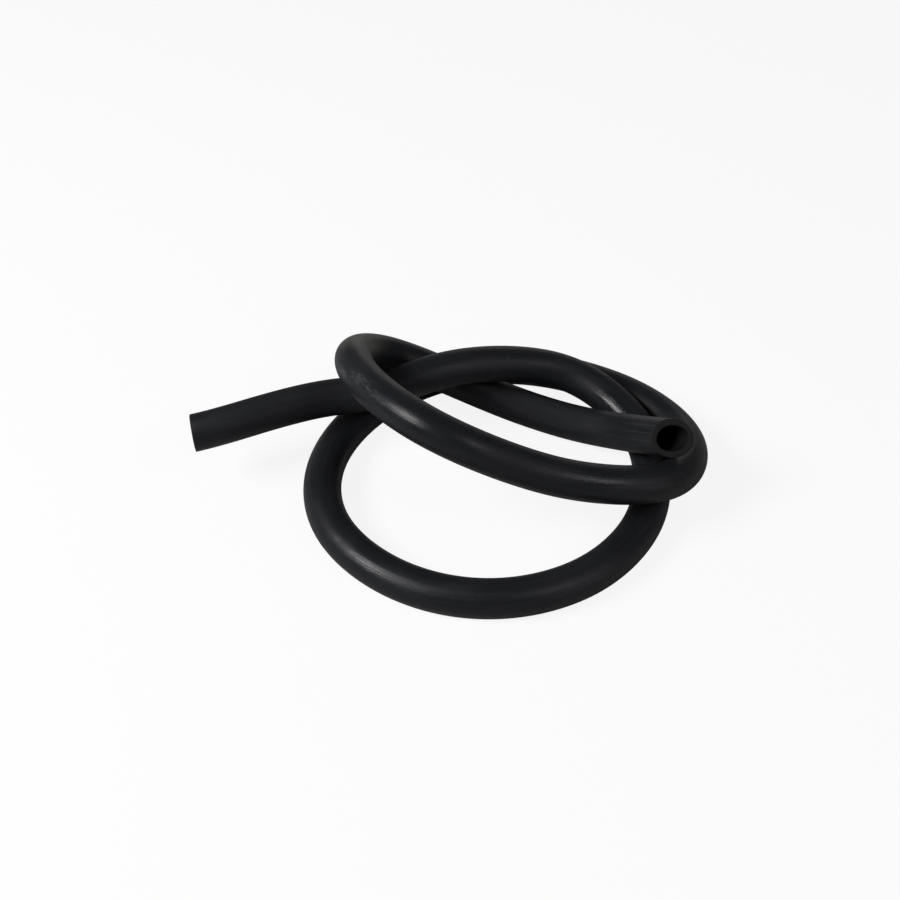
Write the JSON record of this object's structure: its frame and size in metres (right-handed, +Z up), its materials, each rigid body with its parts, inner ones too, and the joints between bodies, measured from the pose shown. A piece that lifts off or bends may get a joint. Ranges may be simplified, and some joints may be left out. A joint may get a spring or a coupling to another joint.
{
  "type": "soaker hose",
  "caption": "Plain round black rubber soaker hose, open at both cut ends, left lying in a loose knotted tangle of overlapping loops.",
  "frame": {"origin": "on the floor that the hose lies on, below the middle of the tangle's bounding box", "axes": "+X along the tangle's longest side, from the cut end on the left towards the right-hand bend; +Y away from the viewer of the picture; +Z up"},
  "size_m": [0.2195, 0.1608, 0.0651],
  "materials": {
    "hose_rubber": "satin black rubber, smooth, with faint extrusion lines along it and light scuffs"
  },
  "bodies": {
    "root": {"soaker_hose": "hose_rubber"}
  },
  "joints": []
}
